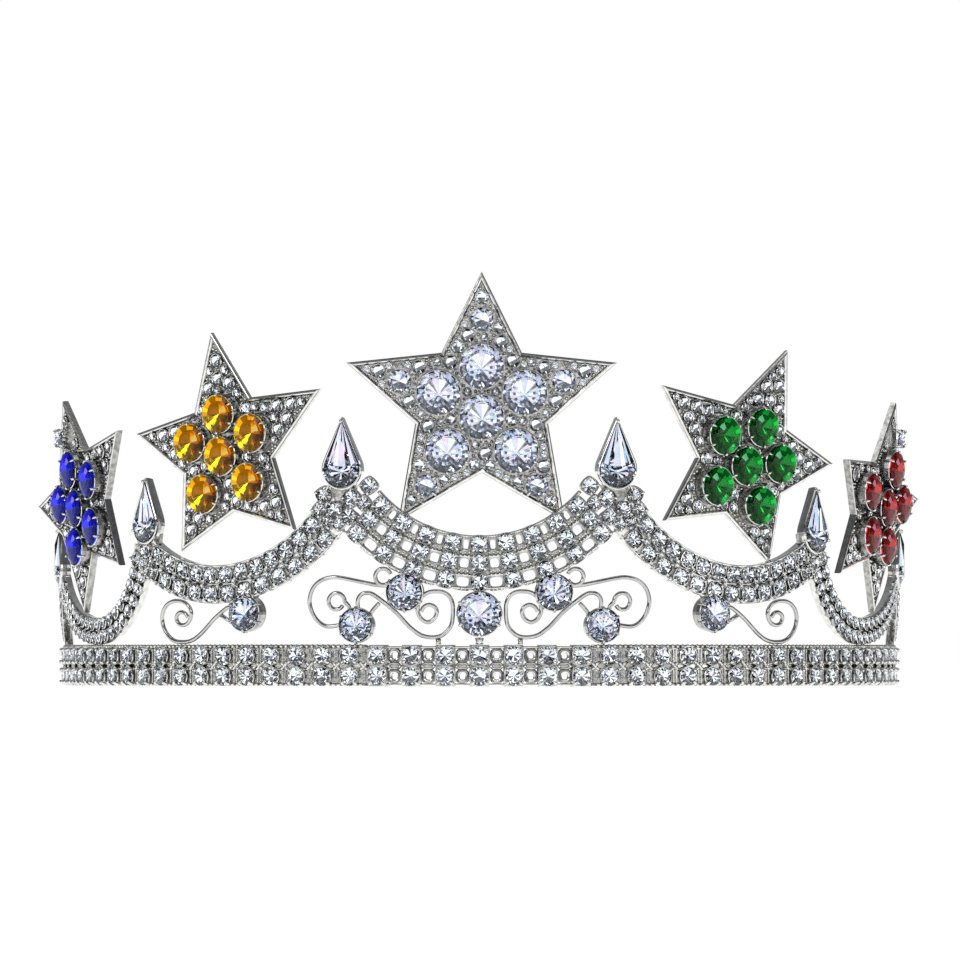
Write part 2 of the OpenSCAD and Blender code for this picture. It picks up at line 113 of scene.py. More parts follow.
# Round scroll stones: distance s, height, radius
CENTRE = (0, 12.5, 3.7)
STONE_B = (12.75, 16.2, 3.0)
STONE_C = (21.35, 10.6, 2.8)
STONE_D = (42.4, 12.7, 2.95)
WIRE_D = 0.75

S_WIRE = [(-21.2, 13.2), (-21.2, 14.9), (-20.6, 15.85), (-19.6, 16.15), (-18.5, 15.9), (-16.7, 14.65),
          (-14.5, 12.85), (-12.5, 10.7), (-11.4, 9.75), (-10.3, 9.0), (-9.0, 8.6), (-7.65, 8.55),
          (-6.5, 8.85), (-5.5, 9.65), (-4.85, 10.6), (-4.6, 11.8), (-4.55, 13.0), (-4.6, 14.1),
          (-4.9, 15.1), (-5.5, 15.85), (-6.4, 16.3), (-7.4, 16.4), (-8.5, 16.3), (-9.4, 15.9),
          (-10.2, 15.1), (-10.6, 14.0), (-10.65, 12.9), (-10.1, 11.75), (-8.95, 11.1), (-7.85, 11.65),
          (-7.35, 12.7), (-7.65, 13.65), (-8.6, 14.1), (-9.55, 13.75), (-10.05, 12.95)]
OUTER_LOOP = [(-23.8, 10.75), (-25.9, 10.45), (-27.05, 10.45), (-28.1, 10.9), (-29.0, 11.7),
              (-29.65, 12.7), (-30.0, 13.7), (-30.15, 14.7), (-29.95, 15.8), (-29.5, 16.85),
              (-28.8, 17.7), (-27.8, 18.35), (-26.7, 18.7), (-25.4, 18.85), (-24.0, 18.7),
              (-22.4, 18.4), (-19.2, 17.75), (-17.8, 17.5), (-15.6, 17.3)]
CROSS_WIRE = [(-19.0, 12.6), (-18.3, 13.5), (-17.4, 14.4)]
SIDE_WIRE = [(44.4, 13.6), (46.3, 13.8), (47.4, 13.3), (48.5, 12.6), (49.9, 11.6), (51.4, 10.35),
             (52.9, 9.2), (54.5, 8.3), (56.1, 7.85), (57.7, 7.78), (59.3, 7.95), (60.7, 8.6), (61.85, 9.7),
             (62.45, 10.95), (62.5, 12.2), (61.95, 13.4), (60.9, 14.35), (59.4, 14.85), (57.8, 14.9),
             (56.4, 14.55), (55.5, 13.85), (55.1, 12.95), (55.2, 12.0), (55.9, 11.1), (57.1, 10.7),
             (58.2, 10.95), (58.75, 11.7), (58.5, 12.5), (57.6, 12.95), (56.6, 12.75), (56.0, 12.1)]


def rad(z):
    """Radius of the outer face at a height."""
    return BAND_R + FLARE * max(0.0, z - BAND_H)


def wrap(s, z, q):
    """Point of the unrolled face, q outside it."""
    a = math.radians(s / DEG_MM)
    r = rad(z) + q
    return (r * math.sin(a), -r * math.cos(a), z)


def place(s, z, q=0.0, turn=0.0):
    """Frame at a point of the face: x along the band, y up, z outwards."""
    return (Matrix.Rotation(math.radians(s / DEG_MM), 4, "Z") @ Matrix.Translation((0, -rad(z) - q, z))
            @ Matrix.Rotation(math.radians(90), 4, "X") @ Matrix.Rotation(math.radians(turn), 4, "Z"))


def on_star(name):
    """Frame of a star tray's front face."""
    angle, radius, height, facing, _ = STARS[name]
    a = math.radians(angle)
    return (Matrix.Translation((radius * math.sin(a), -radius * math.cos(a), height))
            @ Matrix.Rotation(math.radians(facing), 4, "Z")
            @ Matrix.Rotation(math.radians(90 + STAR_LEAN), 4, "X"))


def shift(x, y, z=0.0, turn=0.0):
    """Move inside a frame, with a turn about its z."""
    return Matrix.Translation((x, y, z)) @ Matrix.Rotation(math.radians(turn), 4, "Z")


def arc(centre, r, a):
    """Point of an arc about a centre of the face, with the angle from straight down."""
    t = math.radians(a)
    return (centre[0] + r * math.sin(t), centre[1] - r * math.cos(t))


def arcs(centre, r, a0, a1, n):
    return [arc(centre, r, a0 + (a1 - a0) * i / n) for i in range(n + 1)]


def flip(side, line):
    return [(side * p[0], p[1]) for p in line]


def smooth_line(points, n):
    """Smooth curve through points, with n steps between two of them."""
    p = np.array(points, float)
    out = []
    for i in range(len(p) - 1):
        a, b, c, d = p[max(i - 1, 0)], p[i], p[i + 1], p[min(i + 2, len(p) - 1)]
        for k in range(n):
            t = k / n
            out.append(0.5 * (2 * b + (c - a) * t + (2 * a - 5 * b + 4 * c - d) * t * t
                              + (3 * b - a - 3 * c + d) * t ** 3))
    return out + [p[-1]]


def curl(centre, r0, r1, a0, a1, n):
    """Ring or spiral of wire on the face."""
    out = []
    for i in range(n + 1):
        a = math.radians(a0 + (a1 - a0) * i / n)
        r = r0 + (r1 - r0) * i / n
        out.append((centre[0] + r * math.cos(a), centre[1] + r * math.sin(a)))
    return out


class Mesh:
    """Collects many small shapes, in mm, into one piece."""

    def __init__(self):
        self.points, self.faces, self.slots, self.smooth, self.count = [], [], [], [], 0

    def add(self, shape, matrix=None, slot=0, smooth=False):
        points, faces, slots = shape
        points = np.array(points, float)
        if matrix is not None:
            m = np.array(matrix)
            points = points @ m[:3, :3].T + m[:3, 3]
        self.points.append(points)
        self.faces += [tuple(i + self.count for i in f) for f in faces]
        self.slots += [slot + (slots[i] if slots else 0) for i in range(len(faces))]
        self.smooth += [smooth] * len(faces)
        self.count += len(points)

    def piece(self, name, materials, record_slot, *nodes):
        """Makes the object, which rides on the crown's one body."""
        mesh = bpy.data.meshes.new(name)
        mesh.from_pydata((np.concatenate(self.points) * MM).tolist(), [], self.faces)
        for m in materials:
            mesh.materials.append(m)
        mesh.polygons.foreach_set("material_index", self.slots)
        mesh.polygons.foreach_set("use_smooth", self.smooth)
        shell = bmesh.new()
        shell.from_mesh(mesh)
        bmesh.ops.recalc_face_normals(shell, faces=shell.faces)
        shell.to_mesh(mesh)
        shell.free()
        obj = bpy.data.objects.new(name, mesh)
        bpy.context.scene.collection.objects.link(obj)
        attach(obj, "root")
        if nodes:
            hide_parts(*nodes)
        return obj


def ring(n, r, z, turn=0.0, square=0.0):
    """Ring of n points; square from 0, a circle, to 1, nearly a square with rounded corners."""
    out = []
    for i in range(n):
        a = 2 * math.pi * (i + turn) / n
        c, s = math.cos(a), math.sin(a)
        p = 2 + 4 * square
        k = (abs(c) ** p + abs(s) ** p) ** (-1 / p)
        out.append((r * k * c, r * k * s, z))
    return out


def loft(rings, cyclic=False, caps=True):
    """Skin over rings of equal length; cyclic joins the last to the first."""
    m = len(rings[0])
    n = len(rings)
    points = [p for r in rings for p in r]
    faces = []
    for i in range(n if cyclic else n - 1):
        a, b = i * m, (i + 1) % n * m
        faces += [(a + j, a + (j + 1) % m, b + (j + 1) % m, b + j) for j in range(m)]
    if caps and not cyclic:
        faces += [tuple(range(m - 1, -1, -1)), tuple((n - 1) * m + j for j in range(m))]
    return points, faces, None


def tube(path, radii, sides):
    """Round bar along a path of points, with a radius at each."""
    p = np.array(path, float)
    n = len(p)
    if np.isscalar(radii):
        radii = [radii] * n
    rings, ref = [], None
    for i in range(n):
        t = p[min(i + 1, n - 1)] - p[max(i - 1, 0)]
        t /= np.linalg.norm(t)
        if ref is None:
            ref = np.cross(t, (0.3, 0.5, 0.8))
        u = ref - t * ref.dot(t)
        u /= np.linalg.norm(u)
        ref = u
        v = np.cross(t, u)
        rings.append([tuple(p[i] + radii[i] * (math.cos(a) * u + math.sin(a) * v))
                      for a in [2 * math.pi * j / sides for j in range(sides)]])
    return loft(rings)


def dome(r, sides, rings=2, height=None):
    """Small round bead: the upper half of a ball."""
    h = r if height is None else height
    levels = [[(r * math.cos(b) * math.cos(a), r * math.cos(b) * math.sin(a), h * math.sin(b))
               for a in [2 * math.pi * j / sides for j in range(sides)]]
              for b in [0.5 * math.pi * k / (rings + 0.4) for k in range(rings + 1)]]
    return loft(levels)


def painted_sparkle_tone(k):
    """Tone of the k-th facet behind a stone: 0 painted highlight, 1 tinted painted reflection, 2 painted
    shade.
    """
    return (0, 0, 1, 0, 2, 0, 2, 1, 0, 2, 0, 1, 0)[(5 * k + k // 7) % 13]


def painted_middle_tone(k):
    """Painted tone of the k-th facet at a stone's middle, in the same three tones."""
    return (0, 1, 0, 1, 1, 0, 0, 1, 2, 1, 0)[k % 11]


def painted_large_tones(k, rays):
    """Painted tones of the k-th ray of a large stone: rim, dash between the rays and middle wedge."""
    # Dashes of the odd rays: tinted painted reflection on the upper rays, painted shade on the rest
    low = math.sin(2 * math.pi * (k + 0.5) / rays) < 0.4
    wedges = (0, 1, 0, 0, 0, 1, 1, 0, 0, 0, 1, 0, 1, 1, 1, 0, 1, 0, 2, 1, 0, 1)
    return (k // 2) % 2, (k % 2) * (2 if low else 1), wedges[k % len(wedges)]


def circle(n, r, z, turn=0.0):
    """Ring of n points of a true circle."""
    return [(r * math.cos(a), r * math.sin(a), z) for a in [2 * math.pi * (k + turn) / n for k in range(n)]]


def gem(r, table=0.6, crown=0.24, back=0.3, n=8, seed=0, zig=0.16):
    """Round stone: a table and bevel facets over a foil of twice n narrow rays."""
    rays = 2 * n
    large = n > 8
    points = circle(rays, table * r, crown * r) + circle(rays, r, 0.03 * r) + circle(rays, r, -0.06 * r)
    points += [(0.6 * x, 0.6 * y, -(0.54 + zig * (k % 2)) * back * r)
               for k, (x, y, _) in enumerate(circle(rays, r, 0))]
    points += [(0, -0.12 * r if large else 0, -back * r)]
    g, lo, mid, tip = rays, 2 * rays, 3 * rays, 4 * rays
    faces = [tuple(range(rays))]
    slots = [0]
    for k in range(rays):
        j = (k + 1) % rays
        faces += [(k, g + k, g + j, j), (g + k, lo + k, lo + j, g + j)]
        faces += [(lo + k, mid + k, lo + j), (mid + k, mid + j, lo + j), (mid + k, tip, mid + j)]
        # The girdle and the foil rays take painted highlight, tinted painted reflection and painted shade,
        # which stand in for the stone's sparkle
        tones = (painted_sparkle_tone(2 * k + 5 * seed + 1), painted_sparkle_tone(k + 3 * seed), painted_middle_tone(k + seed))
        slots += [0, 1] + [1 + tone for tone in (painted_large_tones(k, rays) if large else tones)]
    return points, faces, slots


def painted_light_gem(r, light, glint, dark, count=12):
    """Coloured round stone: a ring of bevels over a smooth foil cone, with light and shade painted on by
    heading.

    light and dark are the headings of the cone's painted light and painted shade wedges and glint that of
    the facet with a painted glint, in degrees.
    """
    rays = 2 * count

    def away(k, heading):
        return abs((360 * (k + 1) / rays - heading + 180) % 360 - 180)

    points = []
    for radius, z in ((0.4, 0.2), (0.72, 0.15), (1, 0.02), (1, -0.05), (0.66, -0.1), (0.36, -0.2)):
        points += circle(rays, radius * r, z * r, 0.5)
    points += [(0, 0, -0.3 * r)]
    faces = [tuple(range(rays))]
    slots = [0]
    for k in range(rays):
        j = (k + 1) % rays
        for n in range(5):
            faces += [(n * rays + k, (n + 1) * rays + k, (n + 1) * rays + j, n * rays + j)]
        faces += [(5 * rays + k, 6 * rays, 5 * rays + j)]
        # Cone and rim foils: painted light towards light, painted shade towards dark, stripes on the rim;
        # the crown facet at glint takes a painted glint
        side = away(k, light)
        cone = 1 if side < 45 else 3 if away(k, dark) < 60 else 2
        rim = 1 + k % 2 if side < 100 else 2 + (k // 2) % 2
        slots += [4 if away(k, glint) < 20 else 0, 0, 1, rim, cone, cone]
    return points, faces, slots


def small_gem(r, n=8, crown=0.3, back=0.4, seed=0):
    """Small stone: table and girdle facets over a foiled point."""
    points = ring(n, 0.55 * r, crown * r, 0.5) + ring(n, r, 0) + [(0, 0, -back * r)]
    faces = [tuple(range(n))]
    for k in range(n):
        j = (k + 1) % n
        faces += [(k, n + j, j), (k, n + k, n + j)]
    front = len(faces)
    faces += [(2 * n, n + (k + 1) % n, n + k) for k in range(n)]
    # The point's facets alternate between painted highlight and the tinted painted reflection
    return points, faces, [0] * front + [1 + (k + seed) % 2 for k in range(n)]


def cup(r, outer, depth, top=-0.1, square=1.0, sides=16, seat=0.05):
    """Open setting: a wall in painted shade and a lip in the plain silver round a stone of radius r."""
    points, faces, _ = loft([ring(sides, r + seat, -depth, 0.5),
                             ring(sides, outer * 0.94, -depth, 0.5, square),
                             ring(sides, outer, -0.45 * depth, 0.5, square),
                             ring(sides, outer * 0.985, top - 0.1, 0.5, square),
                             ring(sides, outer * 0.95, top, 0.5, square),
                             ring(sides, r + seat + 0.06, top, 0.5),
                             ring(sides, r + seat, top - 0.12, 0.5)], cyclic=True)
    # Slot 1, the darker silver, paints shade on the foot, the outer wall and the seat; slot 0 is the lip
    painted_shade_slots = [1, 1, 1, 0, 0, 0, 1]
    return points, faces, [painted_shade_slots[i // sides] for i in range(len(faces))]


def prong(r, reach=0.3, height=0.42, thick=0.24, foot=-0.9, out=0.22):
    """Claw that stands beside a stone of radius r and bends over its edge."""
    return tube([(r + out, 0, foot), (r + out, 0, 0.05 * height), (r + 0.4 * out, 0, 0.8 * height),
                 (r - reach, 0, height)], [thick, thick, 0.9 * thick, 0.6 * thick], 6)


def claws(mesh, matrix, r, count, first=45.0, **size):
    for k in range(count):
        mesh.add(prong(r, **size), matrix @ shift(0, 0, 0, first + 360 * k / count), smooth=True)


def strip(low, high, q0, q1):
    """Solid strip of the face between two lines."""
    return loft([[wrap(*a, q0), wrap(*b, q0), wrap(*b, q1), wrap(*a, q1)]
                 for a, b in zip(low, high)])


def channel(low, high, q0, q1, q2, w):
    """Tray of the face: a floor with a rounded wall along both edges."""
    rings = []
    for a, b in zip(low, high):
        a, b = np.array(a, float), np.array(b, float)
        u = (b - a) / np.linalg.norm(b - a) * w
        rings.append([wrap(*a, q0), wrap(*b, q0), wrap(*b, q2 - 0.12), wrap(*(b - 0.25 * u), q2),
                      wrap(*(b - 0.75 * u), q2), wrap(*(b - u), q2 - 0.15), wrap(*(b - u), q1),
                      wrap(*(a + u), q1), wrap(*(a + u), q2 - 0.15), wrap(*(a + 0.75 * u), q2),
                      wrap(*(a + 0.25 * u), q2), wrap(*a, q2 - 0.12)])
    return loft(rings)


def wire(line, q=-0.7, d=WIRE_D, sides=12):
    return tube([wrap(p[0], p[1], q) for p in line], d / 2, sides)


# Materials
def new_material(name):
    m = bpy.data.materials.new(name)
    m.use_nodes = True
    return m, m.node_tree, m.node_tree.nodes["Principled BSDF"]


def noise(tree, scale, detail=2.0):
    """Noise in the object's own space; scale is in lumps for each metre."""
    coord = tree.nodes.new("ShaderNodeTexCoord")
    tex = tree.nodes.new("ShaderNodeTexNoise")
    tex.inputs["Scale"].default_value = scale
    tex.inputs["Detail"].default_value = detail
    tree.links.new(coord.outputs["Object"], tex.inputs["Vector"])
    return tex.outputs["Fac"]


def remap(tree, value, low, high):
    node = tree.nodes.new("ShaderNodeMapRange")
    node.inputs["To Min"].default_value = low
    node.inputs["To Max"].default_value = high
    tree.links.new(value, node.inputs["Value"])
    return node.outputs["Result"]


def two_tone(tree, value, a, b):
    """Colour that runs from a to b with the value."""
    ramp = tree.nodes.new("ShaderNodeValToRGB")
    ramp.color_ramp.elements[0].position = 0.35
    ramp.color_ramp.elements[1].position = 0.65
    ramp.color_ramp.elements[0].color = (*a, 1)
    ramp.color_ramp.elements[1].color = (*b, 1)
    tree.links.new(value, ramp.inputs["Fac"])
    return ramp.outputs["Color"]


def bump(tree, shader, value, distance, strength=0.5):
    node = tree.nodes.new("ShaderNodeBump")
    node.inputs["Distance"].default_value = distance
    node.inputs["Strength"].default_value = strength
    tree.links.new(value, node.inputs["Height"])
    tree.links.new(node.outputs["Normal"], shader.inputs["Normal"])


def plated(name, light, dark, rough_low, rough_high, lump=900.0, depth=0.00002):
    """Bright plating with faint clouding and polishing waves."""
    m, tree, shader = new_material(name)
    shader.inputs["Metallic"].default_value = 1.0
    cloud = noise(tree, lump)
    tree.links.new(two_tone(tree, cloud, light, dark), shader.inputs["Base Color"])
    tree.links.new(remap(tree, cloud, rough_low, rough_high), shader.inputs["Roughness"])
    bump(tree, shader, noise(tree, lump * 1.7, 3.0), depth, 0.4)
    return m


def cut_glass(name, a, b, ior=1.56):
    """Clear or tinted crystal."""
    m, tree, shader = new_material(name)
    shader.inputs["Transmission Weight"].default_value = 1.0
    shader.inputs["IOR"].default_value = ior
    shader.inputs["Roughness"].default_value = 0.0
    tree.links.new(two_tone(tree, noise(tree, 350.0), a, b), shader.inputs["Base Color"])
    return m


def foil(name, a, b, rough, metallic=1.0):
    """Mirror foil behind a stone, tinted to paint highlight, reflection or shade, or with less metal the
    painted glint of a facet.
    """
    m, tree, shader = new_material(name)
    shader.inputs["Metallic"].default_value = metallic
    shader.inputs["Roughness"].default_value = rough
    tree.links.new(two_tone(tree, noise(tree, 420.0), a, b), shader.inputs["Base Color"])
    return m


SILVER = plated("silver", (0.74, 0.735, 0.715), (0.58, 0.575, 0.56), 0.08, 0.16)
WIRE = plated("silver_wire", (0.52, 0.515, 0.50), (0.42, 0.415, 0.41), 0.1, 0.18, 500.0)
# Darker copy of the silver that paints shade on cup walls, seats, links, plates and gaps
PAINTED_SHADE = plated("silver_painted_shade", (0.46, 0.455, 0.44), (0.26, 0.26, 0.25), 0.15, 0.3, 1300.0)
# Darker again: paints recess shade on the stars' pocket floors and on plates between cups
PAINTED_RECESS_SHADE = plated("silver_painted_recess_shade", (0.62, 0.61, 0.59), (0.26, 0.26, 0.25), 0.18, 0.35, 1500.0, 0.00008)
# Metal slots: 0 plain silver, 1 painted shade, 2 painted recess shade
METAL = [SILVER, PAINTED_SHADE, PAINTED_RECESS_SHADE]


def crystal(name, glass, foils):
    """Glass of a stone, the foils behind it in painted highlight, mid tone and painted shade, and its facet
    with a painted glint.
    """
    shades = [cut_glass(name + "_crystal", *glass)]
    for word, (light, dark) in zip(("bright", "tint", "deep"), foils):
        shades.append(foil("%s_foil_%s" % (name, word), light, dark, 0.06 if len(foils) == 3 else 0.14))
    for light, dark in foils[3:]:
        shades.append(foil(name + "_painted_glint_facet", light, dark, 0.25, 0.3))
    return shades


# Foils of the clear stones paint their sparkle: a white highlight, a blue-lavender reflection and a
# near-black shade
CLEAR = crystal("clear", ((1.0, 1.0, 1.0), (0.97, 0.98, 1.0)),
                [((0.88, 0.91, 0.94), (0.76, 0.82, 0.88)), ((0.46, 0.60, 0.76), (0.74, 0.64, 0.76)),
                 ((0.11, 0.13, 0.16), (0.24, 0.28, 0.34))])
SMALL = crystal("small", ((1.0, 1.0, 1.0), (0.98, 0.98, 0.98)),
                [((1.0, 1.0, 1.0), (0.95, 0.96, 0.98)), ((0.78, 0.84, 0.92), (0.70, 0.75, 0.82)),
                 ((0.05, 0.06, 0.07), (0.15, 0.16, 0.19))])
# Foils of the coloured stones paint light and shade in the stone's colour: a bright wedge, a mid tone, a
# dark wedge, and a pale painted glint on one facet
TINTED = {
    "white": CLEAR,
    "yellow": crystal("amber", ((1.0, 0.92, 0.40), (1.0, 0.88, 0.32), 1.25),
                      [((1.0, 0.74, 0.02), (1.0, 0.66, 0.01)), ((0.80, 0.42, 0.01), (0.66, 0.33, 0.01)),
                       ((0.30, 0.13, 0.0), (0.22, 0.09, 0.0)), ((0.92, 0.66, 0.16), (0.88, 0.58, 0.10))]),
    "green": crystal("green", ((0.36, 0.90, 0.46), (0.30, 0.84, 0.40), 1.25),
                     [((0.03, 0.62, 0.14), (0.02, 0.48, 0.10)), ((0.01, 0.26, 0.06), (0.01, 0.19, 0.04)),
                      ((0.0, 0.07, 0.02), (0.0, 0.05, 0.01)), ((0.10, 0.48, 0.20), (0.07, 0.40, 0.15))]),
    "blue": crystal("blue", ((0.24, 0.28, 1.0), (0.20, 0.24, 1.0), 1.2),
                    [((0.01, 0.12, 1.0), (0.01, 0.08, 1.0)), ((0.0, 0.01, 0.72), (0.0, 0.0, 0.55)),
                     ((0.0, 0.0, 0.16), (0.0, 0.0, 0.12)), ((0.34, 0.30, 0.86), (0.26, 0.22, 0.80))]),
    "red": crystal("red", ((1.0, 0.20, 0.20), (0.95, 0.16, 0.16), 1.25),
                   [((0.90, 0.02, 0.03), (0.74, 0.01, 0.02)), ((0.40, 0.01, 0.02), (0.30, 0.0, 0.01)),
                    ((0.09, 0.0, 0.0), (0.06, 0.0, 0.0)), ((0.78, 0.28, 0.36), (0.70, 0.20, 0.28))]),
}
GLASS_SLOT = {"white": "clear_glass", "yellow": "amber_glass", "green": "green_glass",
              "blue": "blue_glass", "red": "red_glass"}


# Band
def band_columns():
    side = [3 * CENTRE_PITCH + SIDE_PITCH * i for i in range(1, 22)]
    return [-s for s in reversed(side)] + [CENTRE_PITCH * i for i in range(-3, 4)] + side


def panel(s0, s1, z0, z1, q0, q1):
    """Curved plate of the face."""
    n = max(1, round(abs(s1 - s0) / 2.5))
    line = [s0 + (s1 - s0) * i / n for i in range(n + 1)]
    return strip([(s, z0) for s in line], [(s, z1) for s in line], q0, q1)


def build_band():
    metal, stones = Mesh(), Mesh()
    end = HALF_ANGLE * DEG_MM
    open_s = 3 * CENTRE_PITCH + 1.9
    edges = (0.4, BAND_H - 0.22)
    for g in (-1, 1):
        metal.add(panel(*sorted((g * open_s, g * end)), 0.15, BAND_H - 0.1, -2.0, -0.9))
        for z in edges:
            line = [(g * (open_s + (end - open_s) * i / 60), z) for i in range(61)]
            # The edge wires take the darker silver as painted shade
            metal.add(tube([wrap(*p, -0.95) for p in line], 0.26, 8), slot=1, smooth=True)
        eye = place(g * (end + 1.6), 3.6, -2)
        metal.add(loft([ring(32, 1.2, 0), ring(32, 2.6, 0), ring(32, 2.6, 1.1), ring(32, 2.4, 1.3),
                        ring(32, 1.35, 1.3), ring(32, 1.2, 1.15)], cyclic=True), eye)
    for z in (0.42, BAND_MID, 6.8):
        line = [(open_s * (-1 + i / 20), z) for i in range(41)]
        metal.add(tube([wrap(*p, -1.0) for p in line], 0.22, 8), smooth=True)
    for s in band_columns():
        middle = abs(s) < open_s
        g = math.copysign(1, s)
        if middle:
            # Plate behind the middle cups in the darker silver, as painted shade
            metal.add(panel(s - 1.75, s + 1.75, 0.1, BAND_H, -2.0, -1.5), slot=1)
        for z in BAND_ROWS:
            m = place(s, z)
            metal.add(cup(1.5, 1.8, 1.5, top=-0.1, square=0.8 if middle else 0.0, sides=20), m)
            claws(metal, m, 1.5, 4, 45, reach=0.32, height=0.38, thick=0.3)
            stones.add(gem(1.66 if middle else 1.58, table=0.66, seed=round(s) + round(z)),
                       m @ shift(0, 0, -0.2, 11 * (round(s) % 4)))
            if middle and s < open_s - 2:
                # Outer link between the middle cups in the darker silver, as painted shade
                metal.add(link(1.14, 1.22, 0.72, 0.6), m @ shift(CENTRE_PITCH / 2, 0, -1.2), slot=1)
                metal.add(link(0.86, 0.9, 0.34, 0.2), m @ shift(CENTRE_PITCH / 2, 0, -0.95))
            if not middle:
                for x in (-0.3, 0.3):
                    metal.add(bar(0.26, 2.3, 0.7), m @ shift(-SIDE_PITCH / 2 * g + x, 0, -0.8))
        if middle and s < open_s - 2:
            # Link between the rows in the darker silver, as painted shade
            metal.add(link(1.1, 0.66, 0.42, 0.5), place(s + CENTRE_PITCH / 2, BAND_MID, -1.05), slot=1)
            for x in (-1.0, 1.0):
                metal.add(dome(0.34, 8), place(s + CENTRE_PITCH / 2 + x, BAND_MID, -0.6), smooth=True)
        if not middle:
            star = place(s - SIDE_PITCH / 2 * g, BAND_MID, -0.85)
            for turn in range(4):
                metal.add(tube([(0.15, 0, 0.1), (0.75, 0, 0.2), (1.15, 0, 0.1)], [0.42, 0.3, 0.12], 6),
                          star @ shift(0, 0, 0, 45 + 90 * turn), smooth=True)
            metal.add(dome(0.55, 10), star, smooth=True)
            for z in edges:
                for k in range(5):
                    bead = place(s + SIDE_PITCH * (k - 2) / 5, z, -0.5)
                    metal.add(dome(0.38, 8), bead, smooth=True)
    metal.piece("band_metal", METAL, "silver_metal", "band")
    stones.piece("band_gems", SMALL, "clear_glass", "band_stones")


def bar(w, h, d):
    """Small upright bar with softened front edges."""
    e = 0.3 * w
    return loft([[(-w / 2, -h / 2, -d / 2), (w / 2, -h / 2, -d / 2), (w / 2, -h / 2, d / 2 - e),
                  (w / 2 - e, -h / 2, d / 2), (-w / 2 + e, -h / 2, d / 2), (-w / 2, -h / 2, d / 2 - e)],
                 [(-w / 2, h / 2, -d / 2), (w / 2, h / 2, -d / 2), (w / 2, h / 2, d / 2 - e),
                  (w / 2 - e, h / 2, d / 2), (-w / 2 + e, h / 2, d / 2), (-w / 2, h / 2, d / 2 - e)]])


def link(w=1.12, h=1.12, wall=0.42, square=0.8):
    """Open rounded link between two cups; square runs from 0, round, to 1."""
    levels = [(1.0, 0, 0.5), (0, 0, square), (0, 0.35, square), (0.3, 0.52, square), (0.8, 0.48, 0.5)]
    rings = [[(x * (w - cut * wall), y * (h - cut * wall), z) for x, y, _ in ring(16, 1, 0, 0.5, corner)]
             for cut, z, corner in levels]
    return loft(rings, cyclic=True)


# Scallops
def build_front_scallop():
    metal, stones = Mesh(), Mesh()
    centre = (0.0, FRONT_H)

    def rail_end(r):
        return min(48.6, math.degrees(math.asin(23.3 / r)))

    for r, w in ((23.1, 0.5), (32.0, 0.5)):
        e = rail_end(r + w / 2)
        # Strip under each outer rail in the darker silver, as painted shade
        metal.add(strip(arcs(centre, r + w / 2, -e, e, 60), arcs(centre, r - w / 2, -e, e, 60), -1.9, -0.75),
                  slot=1)
        line = arcs(centre, r, -e, e, 80)
        metal.add(tube([wrap(*p, -0.72) for p in line], 0.26, 8), smooth=True)
        for i, q in enumerate(arcs(centre, r, -e + 1, e - 1, 44)):
            metal.add(dome(0.3, 8), place(*q, -0.62), smooth=True)
    for r in FRONT_RAILS:
        e = rail_end(r + 0.9)
        for off in (-0.55, 0.55):
            line = arcs(centre, r + off, -e, e, 60)
            metal.add(tube([wrap(*p, -0.95) for p in line], 0.24, 8), smooth=True)
        # Strip under each inner rail in the darker silver, as painted shade
        metal.add(strip(arcs(centre, r + 0.75, -e, e, 40), arcs(centre, r - 0.75, -e, e, 40), -1.85, -1.2),
                  slot=1)
    for i in range(-4, 5):
        a = FRONT_PITCH * i
        for k, r in enumerate(FRONT_ROWS):
            m = place(*arc(centre, r, a), 0, a)
            metal.add(cup(1.42, 1.66, 1.7, top=-0.12, square=0.35), m)
            claws(metal, m, 1.36, 4, 45, reach=0.34, height=0.4, thick=0.3)
            stones.add(gem(1.42, seed=i + 3 * k + 12), m @ shift(0, 0, -0.3, 17 * ((i + k) % 3)))
            if i < 4:
                half = math.radians(FRONT_PITCH / 2) * r - 1.3
                gap = place(*arc(centre, r + 0.1, a + FRONT_PITCH / 2), -1.2, a + FRONT_PITCH / 2)
                # Link between the cups in the darker silver, as painted shade
                metal.add(link(half + 0.15, 1.5, 0.72, 0.6), gap, slot=1)
                for y in (-1.3, 1.3):
                    for x in (-0.75, 0, 0.75):
                        metal.add(dome(0.3, 8), gap @ shift(x, y, 0.32), smooth=True)
    metal.piece("front_scallop_metal", METAL, "silver_metal", "scallop_front")
    return stones


def far_arc(r, n, a):
    return arcs(OUTER_FAR, r, 0, a, n)[1:]


def side_shape(maker, side, low, high, *sizes):
    if side > 0:
        return maker(low, high, *sizes)
    return maker(flip(side, high), flip(side, low), *sizes)


def outer_line(r, a0, r_far, n=30):
    """Line of the outer side scallop: a tight near arc, then a flatter far one."""
    return arcs(OUTER_CENTRE, r, a0, 0, n) + far_arc(r_far, n, 41.5)


def along(line, pitch, first):
    """Points and headings at even steps along a line of the face."""
    p = np.array(line, float)
    step = np.linalg.norm(np.diff(p, axis=0), axis=1)
    dist = np.concatenate([[0], np.cumsum(step)])
    out = []
    d = first
    while d < dist[-1]:
        i = min(np.searchsorted(dist, d, side="right") - 1, len(step) - 1)
        t = (d - dist[i]) / step[i]
        heading = math.degrees(math.atan2(*(p[i + 1] - p[i])[::-1]))
        out.append((*(p[i] + t * (p[i + 1] - p[i])), heading))
        d += pitch
    return out


